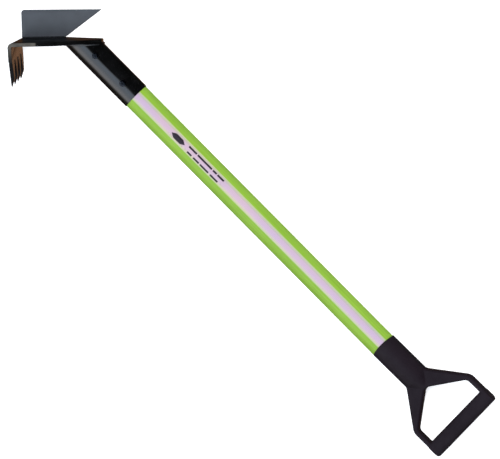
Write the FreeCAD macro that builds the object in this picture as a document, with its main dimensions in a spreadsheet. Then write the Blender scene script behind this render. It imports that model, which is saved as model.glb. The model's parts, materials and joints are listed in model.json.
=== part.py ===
import FreeCAD, Part
import math
import os

import Sketcher

# Overhaul hook: a welded steel rake head on a fibreglass pole with a moulded D grip.
#
# Tool frame: the pole runs along +X from the head to the grip, and the pole's axis meets the
# underside of the rake plate at the origin. The plate's broad direction is Z.
# Head frame: the tool frame turned about Z by head_angle, so that X runs along the plate
# towards its rear end and Y is the plate's upward normal.
# Everything is placed once more by rest_placement, which lays the tool on its side on Z = 0.

Vector = FreeCAD.Vector
Rotation = FreeCAD.Rotation
Placement = FreeCAD.Placement
X_AXIS = Vector(1, 0, 0)
Y_AXIS = Vector(0, 1, 0)
Z_AXIS = Vector(0, 0, 1)

SIZES = (
    # pole
    ("pole_radius", 22.225),
    ("pole_near", 122.3),
    ("pole_far", 697.3),
    ("tenon_radius", 20.5),
    ("tenon_near", 21.5),
    ("tenon_far", 757.3),
    ("core_radius", 17.5),
    ("plug_far", 109.3),
    ("glue_gap", 0.2),
    # rake plate
    ("head_angle", 46.5),
    ("plate_thick", 6.35),
    ("plate_width", 101.6),
    ("plate_front", 117.2),
    ("plate_rear", 32.0),
    ("plate_rear_width", 22.0),
    ("rear_round", 6.0),
    ("taper_front", 38.0),
    ("bend_radius", 8.0),
    ("tine_drop", 69.6),
    ("tine_allowance", 6.0),
    ("tine_lean", 2.35),
    ("tine_skew", 5.0),
    ("tine_tip_edge", 1.2),
    ("tine_grind", 16.0),
    ("slot_top", 26.7),
    ("slot_width", 7.2),
    ("tine_tip_width", 4.0),
    # upright blade
    ("blade_thick", 4.8),
    ("blade_front_height", 45.8),
    ("blade_rear_height", 44.2),
    ("blade_front", 110.6),
    ("blade_foot_rear", 38.7),
    ("blade_point", 23.5),
    ("blade_corner", 5.0),
    ("blade_weld_leg", 1.5),
    ("bevel_width", 6.0),
    ("bevel_depth", 1.4),
    # ferrule and its welds
    ("ferrule_radius", 23.7),
    ("weld_leg", 3.5),
    ("weld_crown_edge", 0.3),
    # fasteners
    ("screw_inset", 29.2),
    ("screw_pitch", 63.3),
    ("screw_clock", 9.0),
    ("screw_radius", 3.175),
    ("screw_hole_radius", 3.3),
    ("screw_head_radius", 5.7),
    ("screw_head_height", 3.4),
    ("screw_dome_radius", 3.2),
    ("hex_socket_width", 4.0),
    ("hex_socket_depth", 2.2),
    ("screw_tail", 1.5),
    ("washer_radius", 7.0),
    ("washer_thick", 1.3),
    ("nut_width", 11.1),
    ("nut_height", 7.9),
    ("nut_hex_height", 5.6),
    ("nut_collar_taper", 0.6),
    ("insert_radius", 4.4),
    ("insert_height", 1.9),
    # tape and label
    ("tape_thick", 0.3),
    ("tape_angle", 46.0),
    ("tape_clock", 12.4),
    ("label_inset", 76.0),
    ("label_length", 130.0),
    ("label_angle", 36.0),
    ("label_thick", 0.1),
    # D grip
    ("grip_shift", 0.4),
    ("grip_tilt", 0.8),
    ("grip_end", 886.0),
    ("socket_start", 694.3),
    ("socket_radius", 23.1),
    ("lip_arch", 2.7),
    ("lip_arch_margin", 1.0),
    ("lip_blank", 6.0),
    ("lip_clearance", 0.1),
    ("nose_start", 769.3),
    ("nose_radius", 12.5),
    ("flare_start", 771.3),
    ("flare_run", 12.0),
    ("flare_sink", 4.5),
    ("throat_apex", 790.7),
    ("throat_radius", 11.0),
    ("inner_knee", 831.4),
    ("inner_half_width", 58.05),
    ("inner_knee_radius", 10.0),
    ("outer_knee", 829.1),
    ("outer_half_width", 66.7),
    ("outer_knee_radius", 20.0),
    ("crossbar_depth", 26.4),
    ("crossbar_thick", 32.0),
    ("crossbar_round", 10.0),
    ("arm_thick", 26.0),
    ("arm_round", 4.0),
    ("flare_round", 8.0),
    ("corner_round", 3.0),
    # how far cutting shapes run past the work, and how big the through cutters are
    ("overrun", 10.0),
    ("cutter", 200.0),
)

document = FreeCAD.newDocument("overhaul_hook")
sheet = document.addObject("Spreadsheet::Sheet", "Sizes")
for row, (alias, number) in enumerate(SIZES, start=1):
    sheet.set("A%d" % row, alias)
    sheet.set("B%d" % row, str(number))
    sheet.setAlias("B%d" % row, alias)
document.recompute()

TINE_COUNT = 4
SCREW_COUNT = 2
HEX_SIDES = 6
# Sketch geometry is drawn this big, and then its constraints give it its size and place.
DRAFT_SIZE = 10.0
# Two positions closer than this are the same.
TOLERANCE = 0.01


def size(alias):
    """Read one driving dimension."""
    return float(sheet.get(alias))


def turned(angle, axis):
    return Placement(Vector(), Rotation(axis, angle))


def bind(item, **formulas):
    """Bind properties of an object to formulas of the sheet's aliases."""
    for name, formula in formulas.items():
        item.setExpression(name, formula)
    return item


# ---------------------------------------------------------------- sketched bodies


def new_body(label):
    body = document.addObject("PartDesign::Body", label)
    body.Label = label
    return body


def new_sketch(body, role, placement=None):
    """An empty sketch on one of the body's own origin planes."""
    plane = [item for item in body.Origin.OriginFeatures if item.Role == role][0]
    sketch = body.newObject("Sketcher::SketchObject", body.Label + "_sketch")
    sketch.AttachmentSupport = (plane, [""])
    sketch.MapMode = "FlatFace"
    if placement:
        sketch.AttachmentOffset = placement
    return sketch


def fix_point(sketch, geometry, end, formulas):
    """Hold one end of a sketch edge at a pair of coordinate formulas."""
    point = sketch.getPoint(geometry, end)
    for kind, value, formula in zip(("DistanceX", "DistanceY"), (point.x, point.y), formulas):
        index = sketch.addConstraint(Sketcher.Constraint(kind, geometry, end, value))
        sketch.setExpression("Constraints[%d]" % index, formula)


def draw_polygon(sketch, corners):
    """Add a closed polygon whose corners are pairs of coordinate formulas."""
    count = len(corners)
    ring = [turned(360 * step / count, Z_AXIS) for step in range(count)]
    draft = [turn * Vector(DRAFT_SIZE, 0, 0) for turn in ring]
    first = sketch.GeometryCount
    for step in range(count):
        sketch.addGeometry(Part.LineSegment(draft[step], draft[(step + 1) % count]))
    for step, formulas in enumerate(corners):
        before = first + (step - 1) % count
        sketch.addConstraint(Sketcher.Constraint("Coincident", before, 2, first + step, 1))
        fix_point(sketch, first + step, 1, formulas)


def draw_circle(sketch, centre, radius):
    """Add a circle from formulas for its centre and radius."""
    index = sketch.addGeometry(Part.Circle(Vector(DRAFT_SIZE, DRAFT_SIZE, 0), Z_AXIS, DRAFT_SIZE))
    fix_point(sketch, index, 3, centre)
    held = sketch.addConstraint(Sketcher.Constraint("Radius", index, DRAFT_SIZE))
    sketch.setExpression("Constraints[%d]" % held, radius)


def add_feature(body, kind, sketch, **formulas):
    feature = body.newObject("PartDesign::" + kind, body.Label + "_" + kind.lower())
    feature.Profile = sketch
    sketch.Visibility = False
    return bind(feature, **formulas)


def pad_midplane(body, sketch, length):
    pad = add_feature(body, "Pad", sketch, Length=length)
    pad.SideType = "Symmetric"
    return pad


def pocket_through(body, sketch):
    """Cut the sketch right through the body, both ways, and check that it removed metal."""
    document.recompute()
    before = body.Shape.Volume
    pocket = add_feature(body, "Pocket", sketch, Length="2 * Sizes.cutter")
    pocket.SideType = "Symmetric"
    document.recompute()
    if body.Shape.Volume >= before:
        raise RuntimeError(body.Label + ": a pocket cut nothing")
    return pocket


def revolve(body, kind, corners):
    """Turn a polygon, drawn as (along the pole, radius), about the tool's X axis."""
    sketch = new_sketch(body, "XY_Plane")
    draw_polygon(sketch, corners)
    feature = add_feature(body, kind, sketch)
    feature.ReferenceAxis = (sketch, ["H_Axis"])
    feature.Angle = 360
    return feature


def dress(body, kind, chosen, **formulas):
    """Fillet or chamfer the edges of the body's tip that the test chooses."""
    document.recompute()
    tip = body.Tip
    names = ["Edge%d" % number for number, edge in enumerate(tip.Shape.Edges, 1) if chosen(edge)]
    if not names:
        raise RuntimeError(body.Label + ": no edge to " + kind)
    feature = body.newObject("PartDesign::" + kind, body.Label + "_" + kind.lower())
    feature.Base = (tip, names)
    bind(feature, **formulas)
    document.recompute()
    return feature


def upright_edge_at(x, y):
    """A test for edges parallel to Z that stand at (x, y) or (x, -y)."""

    def test(edge):
        ends = [vertex.Point for vertex in edge.Vertexes]
        if len(ends) != 2 or math.dist(ends[0][:2], ends[1][:2]) > TOLERANCE:
            return False
        return math.hypot(ends[0].x - x, abs(ends[0].y) - abs(y)) < TOLERANCE

    return test


# ---------------------------------------------------------------- round primitives


def rod(name, radius, height, placement, **extra):
    """A cylinder whose axis is the placement's own Z."""
    item = document.addObject("Part::Cylinder", name)
    bind(item, Radius=radius, Height=height, **extra)
    item.Placement = placement
    return item


def along_pole(start, roll=0.0):
    """Stand a primitive on the pole's axis at X = start, its own Z pointing at the grip."""
    return Placement(Vector(start, 0, 0), Rotation(X_AXIS, -roll) * Rotation(Y_AXIS, 90))


def cutter_block(name):
    item = document.addObject("Part::Box", name)
    return bind(item, Length="Sizes.cutter", Width="Sizes.cutter", Height="Sizes.cutter")


def cut(name, base, tool):
    item = document.addObject("Part::Cut", name)
    item.Base = base
    item.Tool = tool
    return item


def group(label, items):
    """One node that holds several separate solids."""
    item = document.addObject("Part::Compound", label)
    item.Label = label
    item.Links = items
    return item


def screw_placement(number):
    """The frame of one screw: Z out of the near side, origin on the pole's axis."""
    place = size("pole_near") - size("screw_inset") - number * size("screw_pitch")
    return Placement(Vector(place, 0, 0), Rotation(X_AXIS, -size("screw_clock")))


def raised(placement, height):
    return placement * Placement(Vector(0, 0, height), Rotation())


def drill_for_screws(name, base):
    """Cut the screw holes across a part of the pole or ferrule."""
    drills = []
    for number in range(SCREW_COUNT):
        frame = raised(screw_placement(number), -size("cutter") / 2)
        label = "%s_drill_%d" % (name, number)
        drills.append(rod(label, "Sizes.screw_hole_radius", "Sizes.cutter", frame))
    return cut(name, base, group(name + "_drills", drills))


def tube(name, start, end, outer, inner):
    """A round tube on the pole's axis; start and end are aliases, the radii are formulas."""
    height = "Sizes.%s - Sizes.%s" % (end, start)
    skin = rod(name + "_skin", outer, height, along_pole(size(start)))
    bore = rod(name + "_bore", inner, height, along_pole(size(start)))
    return cut(name, skin, bore)


# ---------------------------------------------------------------- head, in the head frame

PLATE_TOP = "Sizes.plate_thick"
TINE_BOTTOM = "(Sizes.plate_thick - Sizes.tine_drop)"
TINE_BLANK = "(Sizes.plate_thick - Sizes.tine_drop - Sizes.tine_allowance)"


def rake_plate():
    """Flat plate, bent down at the front into four tapered tines, narrowed at the rear."""
    body = new_body("rake_plate")
    side = new_sketch(body, "XY_Plane")
    draw_polygon(
        side,
        [
            ("Sizes.plate_rear", "0"),
            ("Sizes.plate_rear", PLATE_TOP),
            ("-Sizes.plate_front", PLATE_TOP),
            ("Sizes.tine_lean - Sizes.plate_front", TINE_BLANK),
            ("Sizes.tine_lean - Sizes.plate_front + Sizes.plate_thick", TINE_BLANK),
            ("Sizes.plate_thick - Sizes.plate_front", "0"),
        ],
    )
    pad_midplane(body, side, "Sizes.plate_width")
    front = -size("plate_front")
    thick = size("plate_thick")
    dress(body, "Fillet", upright_edge_at(front, thick), Radius="Sizes.bend_radius")
    inner = "Sizes.bend_radius - Sizes.plate_thick"
    dress(body, "Fillet", upright_edge_at(front + thick, 0), Radius=inner)
    taper_rear(body)
    cut_tine_gaps(body)
    trim_tines(body)
    grind_tine_tips(body)
    return body


def taper_rear(body):
    """Narrow the plate towards the rear, so that it just covers the ferrule's oblique end."""
    plan = new_sketch(body, "XZ_Plane")
    for side in ("", "-"):
        outside = side + "(Sizes.plate_width / 2 + Sizes.overrun)"
        draw_polygon(
            plan,
            [
                ("-Sizes.taper_front", side + "Sizes.plate_width / 2"),
                ("Sizes.plate_rear", side + "Sizes.plate_rear_width / 2"),
                ("Sizes.plate_rear + Sizes.overrun", side + "Sizes.plate_rear_width / 2"),
                ("Sizes.plate_rear + Sizes.overrun", outside),
                ("-Sizes.taper_front", outside),
            ],
        )
    pocket_through(body, plan)
    rear, half = size("plate_rear"), size("plate_rear_width") / 2

    def rear_corner(edge):
        box = edge.BoundBox
        upright = box.XLength < TOLERANCE and box.ZLength < TOLERANCE
        return upright and math.hypot(box.XMin - rear, abs(box.ZMin) - half) < TOLERANCE

    dress(body, "Fillet", rear_corner, Radius="Sizes.rear_round")


def cut_tine_gaps(body):
    """Cut the tapered gaps between the tines, and the outer tines' outer sides.

    The pattern is skewed against the bend, so the tines are longer on the near side.
    """
    front = new_sketch(body, "YZ_Plane", turned(size("tine_skew"), Z_AXIS))
    top = "(Sizes.plate_thick - Sizes.slot_top)"
    low = TINE_BOTTOM + " - 2 * Sizes.overrun"
    pitch = "(Sizes.plate_width + Sizes.slot_width) / %d" % TINE_COUNT
    tip_gap = "(%s - Sizes.tine_tip_width)" % pitch
    for number in range(1, TINE_COUNT):
        centre = "(%s * %s)" % (pitch, number - TINE_COUNT / 2)
        draw_polygon(
            front,
            [
                (top, centre + " - Sizes.slot_width / 2"),
                (TINE_BOTTOM, centre + " - " + tip_gap + " / 2"),
                (low, centre + " - " + tip_gap + " / 2"),
                (low, centre + " + " + tip_gap + " / 2"),
                (TINE_BOTTOM, centre + " + " + tip_gap + " / 2"),
                (top, centre + " + Sizes.slot_width / 2"),
            ],
        )
    for side in ("", "-"):
        tip = side + "((%s) * %s + Sizes.tine_tip_width / 2)" % (pitch, (TINE_COUNT - 1) / 2)
        outside = side + "(Sizes.plate_width / 2 + Sizes.overrun)"
        draw_polygon(
            front,
            [
                (top, side + "(Sizes.plate_width / 2)"),
                (TINE_BOTTOM, tip),
                (low, tip),
                (low, outside),
                (top, outside),
            ],
        )
    pocket_through(body, front)


def trim_tines(body):
    """Trim the tips to the skewed pattern's lower line."""
    front = new_sketch(body, "YZ_Plane", turned(size("tine_skew"), Z_AXIS))
    outside = "(Sizes.plate_width / 2 + Sizes.overrun)"
    draw_polygon(
        front,
        [
            (TINE_BOTTOM, "-" + outside),
            (TINE_BOTTOM, outside),
            (TINE_BOTTOM + " - 2 * Sizes.overrun", outside),
            (TINE_BOTTOM + " - 2 * Sizes.overrun", "-" + outside),
        ],
    )
    pocket_through(body, front)


def grind_tine_tips(body):
    """Grind the tines' inner faces to a thin edge at the tips."""
    side = new_sketch(body, "XY_Plane", turned(size("tine_skew"), X_AXIS))
    inner_face = "(Sizes.tine_lean - Sizes.plate_front + Sizes.plate_thick)"
    edge = "(Sizes.tine_lean - Sizes.plate_front + Sizes.tine_tip_edge)"
    low = TINE_BOTTOM + " - Sizes.overrun"
    draw_polygon(
        side,
        [
            (edge, low),
            (edge, TINE_BOTTOM),
            (inner_face, TINE_BOTTOM + " + Sizes.tine_grind"),
            (inner_face + " + Sizes.overrun", TINE_BOTTOM + " + Sizes.tine_grind"),
            (inner_face + " + Sizes.overrun", low),
        ],
    )
    pocket_through(body, side)


def hook_blade():
    """Upright trapezoid on the plate's far edge, ground along its top and front edges."""
    body = new_body("hook_blade")
    lift = Placement(Vector(0, 0, -size("plate_width") / 2), Rotation())
    side = new_sketch(body, "XY_Plane", lift)
    side.setExpression(".AttachmentOffset.Base.z", "-Sizes.plate_width / 2")
    rear_top = PLATE_TOP + " + Sizes.blade_rear_height"
    front_top = PLATE_TOP + " + Sizes.blade_front_height"
    draw_polygon(
        side,
        [
            ("-Sizes.blade_foot_rear", PLATE_TOP),
            ("Sizes.blade_point", rear_top),
            ("-Sizes.blade_front", front_top),
            ("-Sizes.blade_front", PLATE_TOP),
        ],
    )
    add_feature(body, "Pad", side, Length="Sizes.blade_thick")
    front_height = size("plate_thick") + size("blade_front_height")
    corner = upright_edge_at(-size("blade_front"), front_height)
    dress(body, "Fillet", corner, Radius="Sizes.blade_corner")
    grind_blade(body)
    return body


def grind_blade(body):
    """Grind the near face to an edge along the top, and along the front."""
    face = "(Sizes.blade_thick - Sizes.plate_width / 2)"
    root = face + " - Sizes.bevel_depth"
    clear = face + " + Sizes.overrun"
    at_front = "Sizes.blade_front_height * Sizes.blade_point"
    at_rear = "Sizes.blade_rear_height * Sizes.blade_front"
    span = "(Sizes.blade_front + Sizes.blade_point)"
    top = "(Sizes.plate_thick + (%s + %s) / %s)" % (at_front, at_rear, span)
    drop = size("blade_front_height") - size("blade_rear_height")
    slope = math.degrees(math.atan2(drop, size("blade_front") + size("blade_point")))
    over_top = new_sketch(body, "YZ_Plane", turned(-slope, Y_AXIS))
    along_top = [
        (top + " - Sizes.bevel_width", face),
        (top, root),
        (top + " + Sizes.overrun", root),
        (top + " + Sizes.overrun", clear),
        (top + " - Sizes.bevel_width", clear),
    ]
    draw_polygon(over_top, along_top)
    pocket_through(body, over_top)
    front = "-Sizes.blade_front"
    over_front = new_sketch(body, "XZ_Plane")
    along_front = [
        (front + " + Sizes.bevel_width", face),
        (front, root),
        (front + " - Sizes.overrun", root),
        (front + " - Sizes.overrun", clear),
        (front + " + Sizes.bevel_width", clear),
    ]
    draw_polygon(over_front, along_front)
    pocket_through(body, over_front)


def blade_weld():
    """Fillet bead along the inside of the blade's foot."""
    body = new_body("blade_weld")
    start = Placement(Vector(0, 0, -size("blade_front")), Rotation())
    section = new_sketch(body, "YZ_Plane", start)
    section.setExpression(".AttachmentOffset.Base.z", "-Sizes.blade_front")
    face = "(Sizes.blade_thick - Sizes.plate_width / 2)"
    draw_polygon(
        section,
        [
            (PLATE_TOP, face),
            (PLATE_TOP, face + " + Sizes.blade_weld_leg"),
            (PLATE_TOP + " + Sizes.blade_weld_leg", face),
        ],
    )
    add_feature(body, "Pad", section, Length="Sizes.blade_front - Sizes.blade_foot_rear")
    return body


def ferrule_weld():
    """Bead round the oblique joint of ferrule and plate, ending at the plate's rear edge."""
    slope = math.radians(size("head_angle"))
    toe = joint_ellipse("weld_toe", "Sizes.weld_leg", 0.0)
    crown = joint_ellipse("weld_crown", "Sizes.weld_crown_edge", -size("weld_leg"))
    crown.Placement.Base.x = size("weld_leg") / math.tan(slope)
    bead = document.addObject("Part::Loft", "weld_bead")
    bead.Sections = [toe, crown]
    bead.Solid = True
    bead.Ruled = True
    frame = turned(-size("head_angle"), Z_AXIS) * along_pole(-size("pole_near"))
    core = rod("weld_core", "Sizes.ferrule_radius", "2 * Sizes.pole_near", frame)
    ring = cut("weld_ring", bead, core)
    beyond = cutter_block("weld_trim")
    beyond.Placement.Base = Vector(size("plate_rear"), -size("cutter") / 2, -size("cutter") / 2)
    weld = cut("ferrule_weld", ring, beyond)
    weld.Label = "ferrule_weld"
    return weld


def joint_ellipse(name, margin, height):
    """The ferrule's oblique section, widened by a margin, in the plane Y = height."""
    item = document.addObject("Part::Ellipse", name)
    bind(
        item,
        MajorRadius="Sizes.ferrule_radius / sin(Sizes.head_angle * 1 deg) + " + margin,
        MinorRadius="Sizes.ferrule_radius + " + margin,
    )
    item.Placement = Placement(Vector(0, height, 0), Rotation(X_AXIS, -90))
    return item


# ---------------------------------------------------------------- ferrule and fasteners


def ferrule():
    """Steel socket tube, cut obliquely to lie against the plate, drilled for the screws."""
    start = 2 * size("ferrule_radius")
    length = "Sizes.pole_near + 2 * Sizes.ferrule_radius"
    bore_radius = "Sizes.tenon_radius + Sizes.glue_gap"
    skin = rod("ferrule_skin", "Sizes.ferrule_radius", length, along_pole(-start))
    bore = rod("ferrule_bore", bore_radius, length, along_pole(-start))
    pipe = cut("ferrule_pipe", skin, bore)
    above = cutter_block("ferrule_mitre")
    corner = Placement(Vector(-size("cutter") / 2, 0, -size("cutter") / 2), Rotation())
    above.Placement = turned(size("head_angle"), Z_AXIS) * corner
    part = drill_for_screws("ferrule", cut("ferrule_mitred", pipe, above))
    part.Label = "ferrule"
    return part


def hexagon(name, width, height, placement):
    item = document.addObject("Part::Prism", name)
    item.Polygon = HEX_SIDES
    bind(item, Circumradius="%s / 2 / cos(30 deg)" % width, Height=height)
    item.Placement = placement
    return item


def button_screw(number):
    """Button-head screw with a hexagon socket, its head against the ferrule's near side."""
    frame = screw_placement(number)
    seat = raised(frame, size("ferrule_radius"))
    tag = "screw_%d" % number
    head = rod(tag + "_head", "Sizes.screw_head_radius", "Sizes.screw_head_height", seat)
    dome = document.addObject("Part::Fillet", tag + "_dome")
    dome.Base = head
    document.recompute()
    rim = [
        index
        for index, edge in enumerate(head.Shape.Edges, 1)
        if edge.Closed and (seat.inverse() * edge.CenterOfMass).z > TOLERANCE
    ]
    dome.Edges = [(index, size("screw_dome_radius"), size("screw_dome_radius")) for index in rim]
    depth = raised(seat, size("screw_head_height") - size("hex_socket_depth"))
    socket = hexagon(tag + "_socket", "Sizes.hex_socket_width", "2 * Sizes.hex_socket_depth", depth)
    domed = cut(tag + "_button", dome, socket)
    reach = "2 * Sizes.ferrule_radius + Sizes.washer_thick + Sizes.nut_height + Sizes.screw_tail"
    foot = size("ferrule_radius") + size("washer_thick") + size("nut_height") + size("screw_tail")
    shank = rod(tag + "_shank", "Sizes.screw_radius", reach, raised(frame, -foot))
    item = document.addObject("Part::Fuse", tag)
    item.Base = domed
    item.Tool = shank
    return item


def washer(number):
    frame = raised(screw_placement(number), -size("ferrule_radius") - size("washer_thick"))
    disc = rod("washer_%d_disc" % number, "Sizes.washer_radius", "Sizes.washer_thick", frame)
    hole = rod("washer_%d_hole" % number, "Sizes.screw_hole_radius", "Sizes.washer_thick", frame)
    return cut("washer_%d" % number, disc, hole)


def nut_frame(number):
    """Origin on the nut's seat, Z pointing away from the ferrule's far side."""
    seat = raised(screw_placement(number), -size("ferrule_radius") - size("washer_thick"))
    return seat * turned(180, X_AXIS)


def lock_nut(number):
    """Hexagon nut with a round collar that holds its locking ring."""
    frame = nut_frame(number)
    tag = "nut_%d" % number
    hexed = hexagon(tag + "_hex", "Sizes.nut_width", "Sizes.nut_hex_height", frame)
    collar = document.addObject("Part::Cone", tag + "_collar")
    bind(
        collar,
        Radius1="Sizes.nut_width / 2",
        Radius2="Sizes.nut_width / 2 - Sizes.nut_collar_taper",
        Height="Sizes.nut_height - Sizes.nut_hex_height",
    )
    collar.Placement = raised(frame, size("nut_hex_height"))
    solid = document.addObject("Part::Fuse", tag + "_solid")
    solid.Base = hexed
    solid.Tool = collar
    thread = rod(tag + "_thread", "Sizes.screw_radius", "Sizes.nut_height", frame)
    threaded = cut(tag + "_threaded", solid, thread)
    seat = raised(frame, size("nut_height") - size("insert_height"))
    recess = rod(tag + "_recess", "Sizes.insert_radius", "Sizes.insert_height", seat)
    return cut(tag, threaded, recess)


def lock_nut_insert(number):
    seat = raised(nut_frame(number), size("nut_height") - size("insert_height"))
    disc = rod("insert_%d_disc" % number, "Sizes.insert_radius", "Sizes.insert_height", seat)
    hole = rod("insert_%d_hole" % number, "Sizes.screw_radius", "Sizes.insert_height", seat)
    return cut("insert_%d" % number, disc, hole)


def fastener_group(label, make):
    return group(label, [make(number) for number in range(SCREW_COUNT)])


# ---------------------------------------------------------------- pole


def pole_tube():
    """Fibreglass tube turned down at both ends to enter the ferrule and the grip."""
    body = new_body("pole_tube")
    revolve(
        body,
        "Revolution",
        [
            ("Sizes.tenon_near", "Sizes.core_radius"),
            ("Sizes.tenon_near", "Sizes.tenon_radius"),
            ("Sizes.pole_near", "Sizes.tenon_radius"),
            ("Sizes.pole_near", "Sizes.pole_radius"),
            ("Sizes.pole_far", "Sizes.pole_radius"),
            ("Sizes.pole_far", "Sizes.tenon_radius"),
            ("Sizes.tenon_far", "Sizes.tenon_radius"),
            ("Sizes.tenon_far", "Sizes.core_radius"),
        ],
    )
    across = new_sketch(body, "XY_Plane", turned(-size("screw_clock"), X_AXIS))
    for number in range(SCREW_COUNT):
        place = "Sizes.pole_near - Sizes.screw_inset - %d * Sizes.screw_pitch" % number
        draw_circle(across, (place, "0"), "Sizes.screw_hole_radius")
    pocket_through(body, across)
    return body


def bolt_plug():
    """Solid plug that keeps the tube from crushing under the screws."""
    height = "Sizes.plug_far - Sizes.tenon_near"
    stock = rod("bolt_plug_stock", "Sizes.core_radius", height, along_pole(size("tenon_near")))
    part = drill_for_screws("bolt_plug", stock)
    part.Label = "bolt_plug"
    return part


def foam_core():
    height = "Sizes.tenon_far - Sizes.plug_far"
    item = rod("foam_core", "Sizes.core_radius", height, along_pole(size("plug_far")))
    item.Label = "foam_core"
    return item


def ferrule_adhesive():
    outer = "Sizes.tenon_radius + Sizes.glue_gap"
    layer = tube("ferrule_glue", "tenon_near", "pole_near", outer, "Sizes.tenon_radius")
    part = drill_for_screws("ferrule_adhesive", layer)
    part.Label = "ferrule_adhesive"
    return part


def grip_adhesive():
    outer = "Sizes.tenon_radius + Sizes.glue_gap"
    item = tube("grip_adhesive", "pole_far", "tenon_far", outer, "Sizes.tenon_radius")
    item.Label = "grip_adhesive"
    return item


def curved_strip(label, start, length, inner, outer, angle):
    """A strip that wraps part of the pole, centred on the tape's side of it."""
    roll = size("tape_clock") - 180 + size(angle) / 2
    frame = along_pole(start, roll)
    skin = rod(label + "_skin", outer, length, frame, Angle="Sizes." + angle)
    under = rod(label + "_under", inner, length, frame)
    item = cut(label, skin, under)
    item.Label = label
    return item


def reflective_stripe():
    length = "Sizes.socket_start - Sizes.lip_arch - Sizes.pole_near"
    outer = "Sizes.pole_radius + Sizes.tape_thick"
    inner = "Sizes.pole_radius"
    return curved_strip("reflective_stripe", size("pole_near"), length, inner, outer, "tape_angle")


def label_decal():
    start = size("pole_near") + size("label_inset")
    inner = "Sizes.pole_radius + Sizes.tape_thick"
    outer = inner + " + Sizes.label_thick"
    return curved_strip("label_decal", start, "Sizes.label_length", inner, outer, "label_angle")


# ---------------------------------------------------------------- D grip


def d_grip():
    """One moulding: a round socket that opens through a flared throat into a D."""
    moulding = document.addObject("Part::MultiFuse", "grip_moulding")
    moulding.Shapes = [grip_socket(), grip_arms(), grip_bar()]
    moulding.Placement = grip_frame()
    item = cut("d_grip", moulding, grip_bore())
    item.Label = "d_grip"
    return item


def grip_frame():
    """The moulding sits slightly off the pole's line, though its bores follow it."""
    mouth = Vector(size("socket_start"), 0, 0)
    return Placement(
        Vector(0, size("grip_shift"), 0), Rotation(Z_AXIS, size("grip_tilt")), mouth
    )


def grip_socket():
    """The socket and its tapered nose, with an arched lip."""
    body = new_body("grip_socket")
    revolve(
        body,
        "Revolution",
        [
            ("Sizes.socket_start - Sizes.lip_blank", "0"),
            ("Sizes.socket_start - Sizes.lip_blank", "Sizes.socket_radius"),
            ("Sizes.nose_start", "Sizes.socket_radius"),
            ("Sizes.throat_apex", "Sizes.nose_radius"),
            ("Sizes.throat_apex", "0"),
        ],
    )
    arch_the_lip(body)
    return body


def grip_arms():
    """The two arms in plan, from the socket's end to the middle of the crossbar."""
    body = new_body("grip_arms")
    outline = new_sketch(body, "XY_Plane")
    one_side = [
        ("Sizes.flare_start - Sizes.flare_run", "(Sizes.socket_radius - Sizes.flare_sink)"),
        ("Sizes.flare_start", "Sizes.socket_radius"),
        ("Sizes.outer_knee", "Sizes.outer_half_width"),
        ("Sizes.grip_end - Sizes.crossbar_depth / 2", "Sizes.outer_half_width"),
        ("Sizes.grip_end - Sizes.crossbar_depth / 2", "Sizes.inner_half_width"),
        ("Sizes.inner_knee", "Sizes.inner_half_width"),
    ]
    other_side = [(along, "-" + across) for along, across in reversed(one_side)]
    draw_polygon(outline, one_side + [("Sizes.throat_apex", "0")] + other_side)
    pad_midplane(body, outline, "Sizes.arm_thick")
    rounds = (
        (size("outer_knee"), size("outer_half_width"), "Sizes.outer_knee_radius"),
        (size("inner_knee"), size("inner_half_width"), "Sizes.inner_knee_radius"),
        (size("throat_apex"), 0.0, "Sizes.throat_radius"),
        (size("flare_start"), size("socket_radius"), "Sizes.flare_round"),
    )
    for x, y, radius in rounds:
        dress(body, "Fillet", upright_edge_at(x, y), Radius=radius)
    start = size("flare_start") - size("flare_run")
    end = size("grip_end") - size("crossbar_depth") / 2

    def long_edge(edge):
        box = edge.BoundBox
        from_ends = min(abs(box.XMin - start), abs(box.XMin - end))
        at_an_end = box.XLength < TOLERANCE and from_ends < TOLERANCE
        return box.ZLength < TOLERANCE and not at_an_end

    dress(body, "Fillet", long_edge, Radius="Sizes.arm_round")
    return body


def grip_bar():
    """The bar that the hand holds, thicker than the arms and rounder."""
    body = new_body("grip_bar")
    section = new_sketch(body, "XZ_Plane")
    inner = "Sizes.grip_end - Sizes.crossbar_depth"
    draw_polygon(
        section,
        [
            (inner, "-Sizes.crossbar_thick / 2"),
            ("Sizes.grip_end", "-Sizes.crossbar_thick / 2"),
            ("Sizes.grip_end", "Sizes.crossbar_thick / 2"),
            (inner, "Sizes.crossbar_thick / 2"),
        ],
    )
    pad_midplane(body, section, "2 * Sizes.outer_half_width")

    def long_edge(edge):
        return edge.BoundBox.YLength > size("outer_half_width")

    def end_edge(edge):
        return edge.BoundBox.YLength < TOLERANCE

    dress(body, "Fillet", long_edge, Radius="Sizes.crossbar_round")
    dress(body, "Fillet", end_edge, Radius="Sizes.corner_round")
    return body


def grip_bore():
    """Bore for the pole's tenon, opened out where the lip laps over the pole."""
    mouth = size("socket_start") - 2 * size("lip_blank")
    reach = "Sizes.pole_far - Sizes.socket_start + 2 * Sizes.lip_blank"
    lap = rod("grip_lap", "Sizes.pole_radius + Sizes.lip_clearance", reach, along_pole(mouth))
    depth = "Sizes.tenon_far - Sizes.pole_far"
    bore_radius = "Sizes.tenon_radius + Sizes.glue_gap"
    bore = rod("grip_tenon_bore", bore_radius, depth, along_pole(size("pole_far")))
    return group("grip_bores", [lap, bore])


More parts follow.
